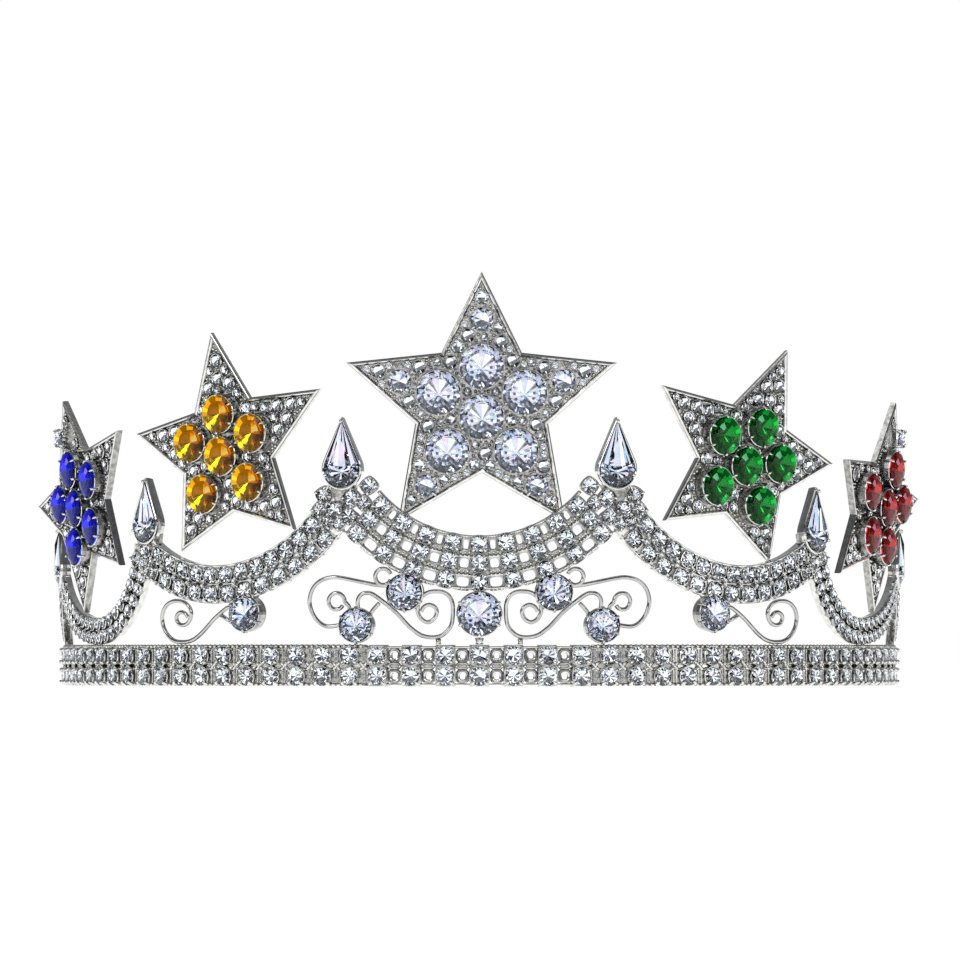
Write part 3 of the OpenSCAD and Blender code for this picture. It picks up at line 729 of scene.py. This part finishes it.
def build_side_scallop(side, stones, tiny):
    metal = Mesh()
    metal.add(side_shape(channel, side, arcs(SIDE_CENTRE, 32.6, -51.2, 36, 60),
                         arcs(SIDE_CENTRE, 26, -62, 36, 60), -1.9, -0.9, -0.2, 0.45))
    metal.add(side_shape(channel, side, outer_line(19.1, -80, 38), outer_line(14.4, -84, 33.3),
                         -1.7, -1.0, -0.6, 0.35))
    metal.add(side_shape(channel, side, [(109.2, 18.6), (114.2, 12), (119.2, 7.45)],
                         [(111.6, 20.6), (117.0, 13.6), (122.4, 7.45)], -1.8, -0.7, -0.2, 0.4))
    # Plates between the knot cups and at the pears in the darker silvers, painted shade so they read as gaps
    metal.add(side_shape(strip, side, [(23.75, 29.2), (23.85, 27.6)], [(20.9, 34.6), (26.3, 35.0)],
                         -1.7, -1.3), slot=2)
    metal.add(side_shape(strip, side, [(63.9, 20.4), (68.6, 21.4)], [(62.4, 26.6), (69.2, 26.6)],
                         -1.6, -0.9), slot=1)
    metal.add(side_shape(strip, side, [(105.4, 17.0), (111.4, 17.6)], [(106.2, 20.6), (111.2, 20.6)],
                         -1.7, -0.9), slot=1)
    for i, a in enumerate(SIDE_COLUMNS):
        for k, r in enumerate(SIDE_ROWS):
            s, z = arc(SIDE_CENTRE, r, a)
            m = place(side * s, z, 0, side * a)
            metal.add(cup(1.38, 1.6, 1.7, top=-0.05, square=0.15), m)
            claws(metal, m, 1.36, 4, 45, reach=0.3, height=0.36, thick=0.25)
            stones.add(gem(1.38, seed=i + 5 * k), m @ shift(0, 0, -0.3, 13 * ((i + 2 * k) % 4)))
            for x, y, size in ((-1.7, 1.25, 0.5), (-1.75, -1.25, 0.42)):
                small_setting(metal, tiny, m @ shift(side * x, y, -0.35), size, 0)
    rows = [(outer_line(18.0, -78, 36.9), 1.3), (outer_line(15.55, -80, 34.45), 1.5)]
    for line, first in rows:
        for s, z, heading in along(line, 2.45, first):
            m = place(side * s, z, 0, side * heading)
            small_setting(metal, tiny, m @ shift(0, 0, -0.25), 1.16, 3)
    for s, z, heading in along([(110.6, 18.6), (115.6, 12.6), (120.6, 8.6)], 2.5, 0.9):
        small_setting(metal, tiny, place(side * s, z, -0.1, side * heading), 1.05, 2)
    knot = [(18.9, 34.5, 1.3, 50), (22.0, 32.4, 1.4, 45), (25.1, 30.4, 1.3, 10), (27.0, 33.0, 1.25, -30),
            (22.6, 29.3, 1.2, 40), (27.9, 30.4, 1.1, -50),
            (26.5, 28.2, 0.95, 20), (24.4, 28.0, 0.9, 45), (19.9, 31.6, 1.1, 50),
            (64.2, 21.8, 1.2, 30), (66.4, 23.6, 1.2, 0), (68.9, 22.2, 1.1, -30), (65.9, 19.9, 1.0, 0)]
    for k, (s, z, r, turn) in enumerate(knot):
        m = place(side * s, z, -0.15, side * turn)
        metal.add(cup(r, r + 0.2, 1.5, top=-0.05, square=0.3), m)
        claws(metal, m, r, 4, 45, reach=0.3, height=0.36, thick=0.25)
        tiny.add(gem(r, seed=k), m @ shift(0, 0, -0.25, 20 * k))
    for s, z, r in ((107.2, 18.2, 0.9), (109.6, 18.6, 0.9)):
        small_setting(metal, tiny, place(side * s, z, -0.2), r, 3)
    for p in PEARS[side]:
        pear_bezel(metal, p)
    names = {-1: "left", 1: "right"}
    metal.piece("side_scallop_" + names[side], METAL, "silver_metal", "scallop_" + names[side])


def small_setting(metal, stones, m, r, beads):
    """Thin round bezel with a small stone and a few beads over its edge."""
    points, faces, _ = loft([ring(12, r, -0.6), ring(12, r, 0.02), ring(12, r - 0.07, 0.14),
                             ring(12, r - 0.15, 0.08), ring(12, r - 0.2, -0.3)], cyclic=True)
    # The outer wall and the inside of the bezel take the darker silver as painted shade, the lip the plain
    # silver
    metal.add((points, faces, [(1, 0, 0, 1, 1)[i // 12] for i in range(60)]), m)
    shape = gem(r - 0.14, n=4, seed=round(50 * r)) if r > 0.7 else small_gem(r - 0.14)
    stones.add(shape, m @ shift(0, 0, 0.04, 400 * r))
    for k in range(beads):
        t = 360 * (k + r) / beads
        metal.add(dome(0.2, 6), m @ shift(0, 0, 0, t) @ shift(r - 0.1, 0, 0.08), smooth=True)


# Pear stones
def pear_line(r, h, z, n=22):
    """Pear outline: a round end about the origin and a tip at h."""
    t = math.acos(r / h)
    out = [(0.0, h, z)]
    for i in range(n + 1):
        a = t + (2 * math.pi - 2 * t) * i / n
        out.append((r * math.sin(a), r * math.cos(a), z))
    return out


def pear_bezel(metal, p):
    s, z, r, tip = p
    h = tip - z
    m = place(s, z, -0.6)
    levels = [(0.05, -1.0), (0.42, -1.2), (0.52, -0.5), (0.55, 0.3), (0.48, 0.62), (0.3, 0.74),
              (0.14, 0.66), (0.06, 0.4)]
    metal.add(loft([pear_line(r + o, h + 1.5 * o, q) for o, q in levels], cyclic=True), m)
    back = pear_line(r + 0.1, h + 0.15, -1.15)
    metal.add((back, [tuple(range(len(back)))], None), m)
    for x, y, a in ((0, h + 0.1, 90), (-r * 0.93, -r * 0.35, 200), (r * 0.93, -r * 0.35, -20)):
        metal.add(prong(0, reach=0.35, height=0.5, thick=0.3, foot=-0.6, out=0.15),
                  m @ shift(x, y, 0.7, a), smooth=True)


def pear_gem(p, seed):
    """Pear stone: long facets fan down from its tip, short rays fill its round end."""
    s, z, r, tip = p
    h = tip - z
    outline = pear_line(r, h, 0.0, 14)
    m = len(outline)
    points = [(0.62 * x, 0.62 * y + 0.05 * h, 0.75) for x, y, _ in outline]
    points += [(x, y, 0.05) for x, y, _ in outline] + [(x, y, -0.12) for x, y, _ in outline]
    lo = 2 * m
    faces, slots = [tuple(range(m))], [0]
    for i in range(m):
        j = (i + 1) % m
        faces += [(i, m + i, m + j, j), (m + i, lo + i, lo + j, m + j)]
        slots += [0, 1]
    # Waist of the foil, from the right edge to the left, with ridges that run up to the tip
    folds = 8
    (x0, y0, _), (x1, y1, _) = outline[1], outline[-1]
    waist = [lo + 1]
    for k in range(1, folds):
        u = k / folds
        waist.append(len(points))
        points.append((x0 + (x1 - x0) * u, y0 - 0.25 * r * math.sin(math.pi * u), -0.45 - 0.3 * (k % 2)))
    waist.append(lo + m - 1)
    # The folds take painted shade at both edges, painted highlight on two ridges and the tinted painted
    # reflection between
    for k in range(folds):
        faces.append((lo, waist[k], waist[k + 1]))
        slots.append((3, 2, 1, 2, 2, 1, 2, 3)[k])
    # Round end: two rings of rays about a low point
    hub, inner = len(points), len(points) + 1
    points.append((0, -0.2 * r, -0.85))
    arc_ids = [lo + i for i in range(1, m)]
    for n, i in enumerate(arc_ids):
        x, y, _ = points[i]
        points.append((0.6 * x, 0.6 * (y + 0.2 * r) - 0.2 * r, -0.42 - 0.22 * (n % 2)))
    # The rays of the round end take the painted sparkle tones
    for n in range(len(arc_ids) - 1):
        a, b = arc_ids[n], arc_ids[n + 1]
        c, d = inner + n, inner + n + 1
        faces += [(a, c, b), (c, d, b), (c, hub, d)]
        slots += [1 + painted_sparkle_tone(n + seed), 1 + painted_sparkle_tone(2 * n + seed + 1), 1 + painted_middle_tone(n + seed)]
    first, last = inner, inner + len(arc_ids) - 1
    faces.append((waist[0], waist[1], first))
    faces.append((waist[-1], last, waist[-2]))
    slots += [1, 1]
    half = folds // 2
    for k in range(1, half):
        faces.append((waist[k], waist[k + 1], first))
        slots.append(1 + painted_middle_tone(k + seed))
    for k in range(half, folds - 1):
        faces.append((waist[k], waist[k + 1], last))
        slots.append(1 + painted_middle_tone(k + seed))
    faces += [(first, waist[half], hub), (waist[half], last, hub)]
    slots += [1, 2]
    return (points, faces, slots), place(s, z, 0.15)


def build_pears():
    for side, name in ((-1, "l"), (1, "r")):
        for k, p in enumerate(PEARS[side]):
            mesh = Mesh()
            mesh.add(*pear_gem(p, 3 * k + side))
            mesh.piece("pear_gem_%s%d" % (name, k + 1), CLEAR, "clear_glass",
                       "pear_stone_%s%d" % (name, k + 1))


# Stars
def edge_distance(x, y, outline):
    """Distance from points to the outline's edges, and whether they are inside."""
    best = np.full(x.shape, 1e9)
    inside = np.zeros(x.shape, bool)
    for (ax, ay), (bx, by) in zip(outline, outline[1:] + outline[:1]):
        dx, dy = bx - ax, by - ay
        t = np.clip(((x - ax) * dx + (y - ay) * dy) / (dx * dx + dy * dy), 0, 1)
        best = np.minimum(best, np.hypot(x - ax - t * dx, y - ay - t * dy))
        crosses = (ay > y) != (by > y)
        inside ^= crosses & (x < ax + (y - ay) * dx / (dy if dy else 1e-9))
    return np.where(inside, best, -best)


def pave(outline, taken, r_max=1.3, r_min=0.24):
    """Fills an outline with circles of falling size, snug to its edges and each other."""
    grid = np.arange(-26, 26, 0.12)
    x, y = np.meshgrid(grid, grid)
    room = edge_distance(x, y, outline) - RIM_W + 0.1
    for cx, cy, r in taken:
        room = np.minimum(room, np.hypot(x - cx, y - cy) - r)
    out = []
    for size in (r_max, 0.95 * r_max, 0.86 * r_max, 0.76 * r_max, 0.62 * r_max, 0.5 * r_max, 0.34, r_min):
        while True:
            fits = room >= size
            if not fits.any():
                break
            i = np.argmin(np.where(fits, room, 1e9))
            cx, cy = x.flat[i], y.flat[i]
            out.append((cx, cy, size))
            room = np.minimum(room, np.hypot(x - cx, y - cy) - size)
    return out


def build_star(name):
    metal, tiny, stones, accents = Mesh(), Mesh(), Mesh(), Mesh()
    m = on_star(name)
    outline = STARS[name][4]
    taken = [(x, y, r + 0.4) for x, y, r in CLUSTERS[name]]
    taken += [(x, y, r + 0.3) for x, y, r, _ in ACCENTS[name]]
    metal.add(tray(outline, *WALLS[name]), m)
    for x, y, r in pave(outline, taken):
        if r > 0.36:
            small_setting(metal, tiny, m @ shift(x, y, -POCKET_D + 0.5 + 0.1 * (r > 0.6)), r, 3)
        else:
            metal.add(dome(r, 8, 2, 0.55), m @ shift(x, y, -POCKET_D), smooth=True)
    for k, (x, y, r) in enumerate(CLUSTERS[name]):
        c = m @ shift(x, y, RISE - 0.1)
        metal.add(cup(r - 0.1, r + 0.3, RISE + 0.4, top=-0.16, square=0, sides=40, seat=0.06), c)
        claws(metal, c, r + 0.1, 6, 60 * (k % 2) + 30, reach=0.28, height=0.42, thick=0.24, out=0.12)
        if name == "white":
            stones.add(gem(r + 0.2, n=11), c @ shift(0, 0, 0, 4 * k - 10))
        else:
            stones.add(painted_light_gem(r + 0.16, *PAINTED_LIGHT_HEADINGS[name]), c)
    for x, y, r, rise in ACCENTS[name]:
        c = m @ shift(x, y, rise - 0.15)
        claws(metal, c, r, 4, 45, reach=0.35, height=0.42, thick=0.27)
        accents.add(gem(r, seed=round(9 + x)), c)
    metal.piece(name + "_star_metal", METAL, "silver_metal", "star_" + name)
    tiny.piece(name + "_star_pave", SMALL, "clear_glass")
    stones.piece(name + "_star_gems", TINTED[name], GLASS_SLOT[name],
                 *["%s_stone_%d" % (name, k + 1) for k in range(6)])
    return accents


def inset(outline, d):
    """Moves each corner of a closed outline inwards."""
    p = np.array(outline, float)
    a = p - np.roll(p, 1, 0)
    b = np.roll(p, -1, 0) - p
    a /= np.linalg.norm(a, axis=1)[:, None]
    b /= np.linalg.norm(b, axis=1)[:, None]
    m = np.stack([a[:, 1] + b[:, 1], -a[:, 0] - b[:, 0]], 1)
    return p + 2 * d * m / (m * m).sum(1)[:, None]


def tray(outline, thick, wall):
    """Star plate with a rounded rim and a sunken floor."""
    levels = [(0, -thick), (0, -0.2), (0.08, -0.06), (0.2, -0.01), (0.42, 0.0), (0.62, -0.12),
              (0.74, -0.32), (0.8, -POCKET_D)]
    rings = [[(x, y, z) for x, y in inset(outline, d)] for d, z in levels]
    points, faces, _ = loft(rings)
    sides = len(outline)
    # Slot 1, the darker silver, paints shade on the rim's outer shoulder, the slope into the pocket and the
    # back; slot 2 paints recess shade on the pocket floor; the outer wall takes the slot given as wall
    painted_shade_slots = [wall, 1, 0, 0, 0, 1, 1]
    slots = [painted_shade_slots[i // sides] for i in range(7 * sides)] + [1, 2]
    return points, faces, slots


# Scrolls
def round_setting(metal, stones, p, count):
    m = place(p[0], p[1], 0.55)
    r = p[2]
    metal.add(cup(r, r + 0.3, 2.4, top=0.05, square=0, sides=40, seat=0.06), m)
    metal.add(loft([ring(40, r + 0.1, -2.45), ring(40, r + 0.1, -2.2)]), m)
    claws(metal, m, r, count, 30, reach=0.4, height=0.46, thick=0.3, out=0.2)
    stones.add(gem(r, n=11), m @ shift(0, 0, 0, 7 * (round(p[0]) % 3) - 7))


def build_scrolls():
    for side, word in ((-1, "left"), (1, "right")):
        metal, wires = Mesh(), Mesh()
        e = word[0]
        for p, letter in ((STONE_B, "b"), (STONE_C, "c"), (STONE_D, "d")):
            stones = Mesh()
            body = metal if letter != "d" else wires
            round_setting(body, stones, (side * p[0], p[1], p[2]), 6)
            stones.piece("scroll_gem_%s%s" % (letter, e), CLEAR, "clear_glass",
                         "scroll_stone_%s%s" % (letter, e))
        metal.add(wire(flip(-side, smooth_line(S_WIRE, 4))), smooth=True)
        metal.add(wire(flip(-side, smooth_line(OUTER_LOOP, 5)), -0.8), smooth=True)
        c = [(-22.7, 13.1), (-22.9, 13.9)] + curl((-25.15, 14.65), 1.55, 1.3, 0, 330, 24)
        metal.add(wire(flip(-side, smooth_line(c, 2)), -0.8), smooth=True)
        metal.add(wire(flip(-side, smooth_line(CROSS_WIRE, 4)), -0.8), smooth=True)
        metal.add(wire(flip(-side, curl((-16.65, 18.9), 1.4, 1.4, 20, 340, 32)), -0.75), smooth=True)
        metal.add(tube([wrap(side * 7.1, z, -0.7) for z in (7.37, 7.75, 8.3)], [0.5, 0.4, 0.5], 10),
                  smooth=True)
        metal.piece("front_scroll_" + word, [WIRE, PAINTED_SHADE], "silver_metal", "scroll_front_" + word)
        wires.add(wire(flip(side, smooth_line(SIDE_WIRE, 5))), smooth=True)
        wires.add(wire(flip(side, [(45.2, 11.1), (47.0, 11.7), (48.6, 12.6)]), -0.8), smooth=True)
        wires.piece("side_scroll_" + word, [WIRE, PAINTED_SHADE], "silver_metal", "scroll_side_" + word)
    metal, stones = Mesh(), Mesh()
    round_setting(metal, stones, CENTRE, 6)
    metal.add(tube([wrap(0, z, -1.1) for z in (7.35, 7.8, 8.4)], [0.75, 0.6, 0.8], 12), smooth=True)
    metal.piece("centre_mount", METAL, "silver_metal", "centre_setting")
    stones.piece("centre_gem", CLEAR, "clear_glass", "centre_stone")


# Studio
def studio_surface(name, points, faces):
    mesh = bpy.data.meshes.new(name)
    mesh.from_pydata(points, [], faces)
    mesh.polygons.foreach_set("use_smooth", [True] * len(faces))
    m, _, shader = new_material(name)
    shader.inputs["Base Color"].default_value = (0.85, 0.85, 0.85, 1)
    shader.inputs["Roughness"].default_value = 0.9
    shader.inputs["Emission Color"].default_value = (1, 1, 1, 1)
    shader.inputs["Emission Strength"].default_value = 0.97
    mesh.materials.append(m)
    obj = bpy.data.objects.new(name, mesh)
    bpy.context.scene.collection.objects.link(obj)


def area_light(name, where, aim, size, radiance, tint=(1, 1, 1)):
    """Softbox; radiance is how bright it looks in a mirror."""
    data = bpy.data.lights.new(name, "AREA")
    data.shape = "RECTANGLE"
    data.size, data.size_y = size
    data.energy = radiance * math.pi * size[0] * size[1]
    data.color = tint
    obj = bpy.data.objects.new(name, data)
    obj.location = where
    direction = Matrix.Translation(aim).to_translation() - Matrix.Translation(where).to_translation()
    obj.rotation_euler = direction.to_track_quat("-Z", "Y").to_euler()
    bpy.context.scene.collection.objects.link(obj)


def build_studio():
    points = [(-6, -6, 0), (6, -6, 0), (6, 6, 0), (-6, 6, 0)]
    studio_surface("floor", points, [(0, 1, 2, 3)])
    world = bpy.data.worlds.new("studio")
    bpy.context.scene.world = world
    world.use_nodes = True
    tree = world.node_tree
    shader = tree.nodes["Background"]
    coord = tree.nodes.new("ShaderNodeTexCoord")
    split = tree.nodes.new("ShaderNodeSeparateXYZ")
    ramp = tree.nodes.new("ShaderNodeValToRGB")
    ramp.color_ramp.elements[0].position = 0.0
    ramp.color_ramp.elements[1].position = 0.985
    ramp.color_ramp.elements[0].color = (0.12, 0.125, 0.135, 1)
    ramp.color_ramp.elements[1].color = (1, 1, 1, 1)
    grey = ramp.color_ramp.elements.new(0.965)
    grey.color = (0.38, 0.385, 0.39, 1)
    tree.links.new(coord.outputs["Generated"], split.inputs["Vector"])
    tree.links.new(split.outputs["Y"], ramp.inputs["Fac"])
    tree.links.new(ramp.outputs["Color"], shader.inputs["Color"])
    target = (0, 0, 0.035)
    area_light("front", (0, -1.25, 0.42), target, (1.3, 0.3), 2.2)
    area_light("key", (-0.75, -0.7, 0.55), target, (0.3, 0.45), 4.0)
    area_light("fill", (0.85, -0.5, 0.3), target, (0.2, 0.6), 2.5)
    area_light("top", (0, -0.1, 0.9), target, (0.8, 0.25), 2.0)
    bpy.context.scene.view_settings.view_transform = "Standard"


def build_camera():
    """Level with the band and far off, as the photograph was taken."""
    distance, height, aim_z = 1.5, 0.004, 0.0371
    px_per_mm, px_across, sensor = 5.553, 960, 36
    data = bpy.data.cameras.new("camera")
    data.sensor_width = sensor
    data.lens = sensor * px_per_mm * distance / MM / px_across
    data.clip_start = 0.05
    obj = bpy.data.objects.new("camera", data)
    obj.location = (0.0001, -distance, height)
    obj.rotation_euler = (math.radians(90) + math.atan2(aim_z - height, distance), 0, 0)
    bpy.context.scene.collection.objects.link(obj)
    bpy.context.scene.camera = obj


build_camera()
build_band()
scallop_gems = build_front_scallop()
tiny_gems = Mesh()
for side in (-1, 1):
    build_side_scallop(side, scallop_gems, tiny_gems)
scallop_gems.piece("scallop_gems", SMALL, "clear_glass", "scallop_stones")
tiny_gems.piece("outer_scallop_gems", SMALL, "clear_glass")
build_pears()
accent_gems = Mesh()
for star in STARS:
    part = build_star(star)
    if part.count:
        accent_gems.add((np.concatenate(part.points), part.faces, part.slots))
accent_gems.piece("accent_gems", CLEAR, "clear_glass", "accent_stones")
build_scrolls()
build_studio()
